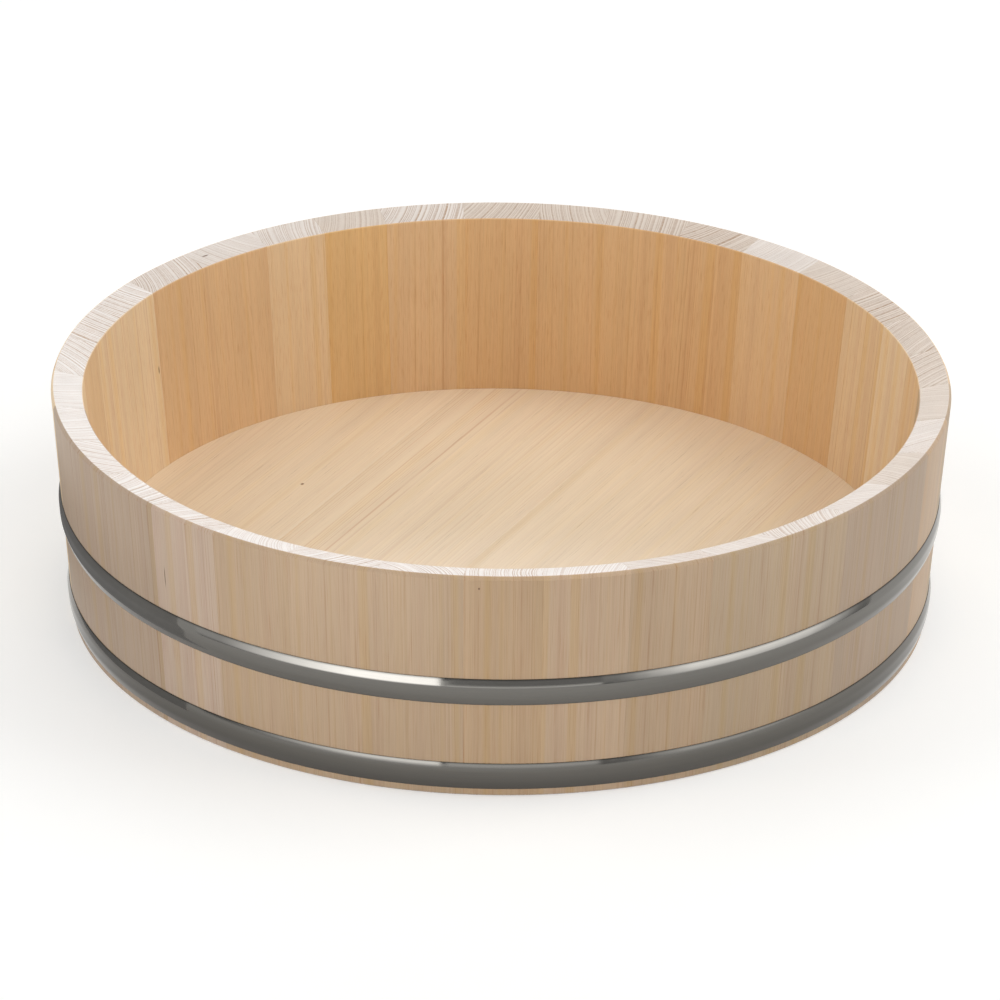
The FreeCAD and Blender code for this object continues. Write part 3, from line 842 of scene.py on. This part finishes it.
class TUB_OT_stage(bpy.types.Operator):
    """Set up the floor, the soft light and the camera"""

    bl_idname = "tub.stage"
    bl_label = "Studio"

    def execute(self, context):
        self.make_floor()
        card = self.lit_card()
        self.make_card("high_card", 3.9, (-170, -60), (0.01, 5.5), (0.03, 0.03), card)
        self.make_card("dim_card", 0.5, (-99, -68), (0.03, 0.9), (0.075, 0.075), card)
        self.make_card("line_card", 0.4, (-99, -68), (0.006, 0.03), (0.2, 0.3), card)
        self.make_card("left_foot_card", 0.4, (-148, -100), (0.0, 0.03), (0.18, 0.85), card,
                       (16, 0))
        self.make_card("left_card", 0.4, (-148, -100), (0.03, 0.095), (0.85, 0.85), card,
                       (16, 0))
        self.make_card("right_card", 0.4, (-72, -12), (0.0, 0.09), (0.22, 0.75), card, (7, 7))
        self.make_card("flag", 0.262, (-200, -139), (0.0, 0.075), (0.075, 0.09), card, (20, 0))
        self.make_room(context)
        studio = context.scene.tub_studio
        self.make_lamp("top_softbox", (0.4, 0.1, 2.5), (4.6, 1.6), studio.top_power)
        self.make_lamp("left_softbox", (-2.0, 0.0, 2.2), (2.0, 1.6), studio.left_power)
        self.make_lamp("right_softbox", (2.0, 0.0, 2.2), (2.0, 1.6), studio.right_power)
        self.make_lamp("back_softbox", (0.1, 2.7, 0.9), (3.2, 1.0), studio.back_power)
        self.make_lamp("side_softbox", (-1.62, -2.4, 0.72), (2.1, 1.2), studio.side_power)
        self.make_lamp("front_softbox", (0.6, -2.6, 2.4), (2.0, 1.0), studio.front_power)
        self.make_lamp("low_strip", (0.9, -3.5, 0.3), (3.2, 0.28), studio.strip_power)
        self.make_camera(context)
        context.scene.view_settings.view_transform = "Standard"
        return {"FINISHED"}

    def make_floor(self):
        """A wide sheet of white paper."""
        shape = bmesh.new()
        bmesh.ops.create_grid(shape, x_segments=1, y_segments=1, size=8.0)
        material, tree, shader = start_material("Paper, matt white sweep")
        fibres = add_node(tree, "TexNoise", None, {"Scale": 900.0, "Detail": 0.0})
        tooth = add_node(tree, "MapRange", None, {"Value": fibres.outputs["Fac"],
                                                  "To Min": 0.985, "To Max": 1.0})
        white = add_node(tree, "VectorMath", {"operation": "SCALE"},
                         {0: linear("#DADAD8"), "Scale": tooth.outputs[0]})
        tree.links.new(white.outputs[0], shader.inputs["Base Color"])
        rays = self.looking_rays(tree)
        glow = add_node(tree, "Math", {"operation": "MULTIPLY"}, {0: rays, 1: 0.4})
        tree.links.new(glow.outputs[0], shader.inputs["Emission Strength"])
        shader.inputs["Emission Color"].default_value = (1, 1, 1, 1)
        shader.inputs["Roughness"].default_value = 1.0
        shader.inputs["Specular IOR Level"].default_value = 0.1
        material.cycles.emission_sampling = "NONE"
        floor = new_piece("paper_floor", shape, material)

    def make_card(self, name, reach, span, rise, glow, material, fade=(0, 0)):
        """A bent studio card round the tub, seen only where the steel mirrors it."""
        shape = bmesh.new()
        steps = 24
        angles = [math.radians(span[0] + (span[1] - span[0]) * step / steps)
                  for step in range(steps + 1)]
        foot, head = ([shape.verts.new((reach * math.cos(angle), reach * math.sin(angle), level))
                       for angle in angles] for level in rise)
        for number in range(steps):
            shape.faces.new((foot[number], foot[number + 1], head[number + 1], head[number]))
        card = new_piece(name, shape, material)
        along = [max(0.2, min(1.0, (step + 0.01) / (fade[0] + 0.01),
                              (steps + 0.01 - step) / (fade[1] + 0.01)))
                 for step in range(steps + 1)]
        paint_points(card.data, "glow", "FLOAT",
                     [level * share for level in glow for share in along])
        card.visible_camera = False
        card.visible_diffuse = False
        card.visible_shadow = False

    def lit_card(self):
        """Card that glows as if a lamp stood behind it: bright, it gives polished steel its
        highlights, and dim, its dark lines."""
        material, tree, shader = start_material("Card, white and lit from behind")
        pulp = add_node(tree, "TexNoise", None, {"Scale": 20.0, "Detail": 2.0})
        glow = add_node(tree, "Attribute", {"attribute_name": "glow"}).outputs["Fac"]
        lamp = add_node(tree, "MapRange", None, {"Value": pulp.outputs["Fac"],
                                                 "To Min": 5.5, "To Max": 7.5})
        fading = add_node(tree, "Math", {"operation": "MULTIPLY"},
                          {0: lamp.outputs[0], 1: glow})
        tree.links.new(fading.outputs[0], shader.inputs["Emission Strength"])
        shader.inputs["Emission Color"].default_value = (1, 1, 1, 1)
        shader.inputs["Base Color"].default_value = (*linear("#3A3A3C"), 1)
        material.cycles.emission_sampling = "NONE"
        return material

    def looking_rays(self, tree):
        """1 for what the camera sees, straight or mirrored in metal, and 0 for other light."""
        rays = add_node(tree, "LightPath").outputs
        seen = add_node(tree, "Math", {"operation": "MAXIMUM"},
                        {0: rays["Is Camera Ray"], 1: rays["Is Glossy Ray"]})
        either = add_node(tree, "Math", {"operation": "MAXIMUM"},
                          {0: seen.outputs[0], 1: rays["Is Transmission Ray"]})
        return either.outputs[0]

    def make_room(self, context):
        """Even light from all round, white where it is looked at or mirrored."""
        world = bpy.data.worlds.new("studio_room")
        context.scene.world = world
        world.use_nodes = True
        tree = world.node_tree
        tree.nodes.clear()
        strength = add_node(tree, "MapRange", None,
                            {"Value": self.looking_rays(tree),
                             "To Min": context.scene.tub_studio.sky_strength, "To Max": 1.0})
        light = add_node(tree, "Background", None, {"Color": (1, 1, 1, 1),
                                                    "Strength": strength.outputs[0]})
        add_node(tree, "OutputWorld", None, {"Surface": light.outputs[0]})

    def make_lamp(self, name, place, size, power):
        lamp = bpy.data.lights.new(name, "AREA")
        lamp.shape = "RECTANGLE"
        lamp.size, lamp.size_y = size
        lamp.energy = power
        stand = bpy.data.objects.new(name, lamp)
        stand.location = place
        aim = Vector((0, 0, 0.06)) - Vector(place)
        stand.rotation_euler = aim.to_track_quat("-Z", "Y").to_euler()
        bpy.context.scene.collection.objects.link(stand)

    def make_camera(self, context):
        studio = context.scene.tub_studio
        lens = bpy.data.cameras.new("photograph")
        lens.lens = studio.lens
        lens.sensor_width = 36.0
        lens.clip_start = 0.1
        lens.clip_end = 50.0
        camera = bpy.data.objects.new("photograph", lens)
        reach = studio.camera_distance
        height = context.scene.tub_sizes.height
        place = Vector((0, -reach * math.cos(studio.camera_rise),
                        height + reach * math.sin(studio.camera_rise)))
        tilt = Matrix.Rotation(math.pi / 2 - studio.camera_pitch, 4, "X")
        lean = Matrix.Rotation(studio.camera_roll, 4, "Z")
        camera.matrix_world = Matrix.Translation(place) @ tilt @ lean
        context.scene.collection.objects.link(camera)
        context.scene.camera = camera


class TUB_PT_panel(bpy.types.Panel):
    """Buttons that dress the tub"""

    bl_idname = "TUB_PT_panel"
    bl_label = "Rice Tub"
    bl_space_type = "VIEW_3D"
    bl_region_type = "UI"
    bl_category = "Rice Tub"

    def draw(self, context):
        column = self.layout.column(align=True)
        for operator in OPERATORS:
            column.operator(operator.bl_idname)
        for settings in ("tub_sizes", "tub_colours", "tub_studio"):
            group = getattr(context.scene, settings)
            box = self.layout.box()
            for name in group.bl_rna.properties.keys():
                if name not in ("rna_type", "name"):
                    box.prop(group, name)


SETTINGS = {"tub_sizes": TubSizes, "tub_colours": TubColours, "tub_studio": TubStudio}
OPERATORS = (TUB_OT_staves, TUB_OT_floor_boards, TUB_OT_hoops, TUB_OT_pins, TUB_OT_stage)


def register():
    for kind in (*SETTINGS.values(), *OPERATORS, TUB_PT_panel):
        bpy.utils.register_class(kind)
    for name, kind in SETTINGS.items():
        setattr(bpy.types.Scene, name, bpy.props.PointerProperty(type=kind))


def unregister():
    for name in SETTINGS:
        delattr(bpy.types.Scene, name)
    for kind in reversed((*SETTINGS.values(), *OPERATORS, TUB_PT_panel)):
        bpy.utils.unregister_class(kind)


def main():
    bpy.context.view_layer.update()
    register()
    bpy.ops.tub.staves()
    bpy.ops.tub.floor_boards()
    bpy.ops.tub.hoops()
    bpy.ops.tub.pins()
    bpy.ops.tub.stage()


if __name__ == "__main__":
    main()
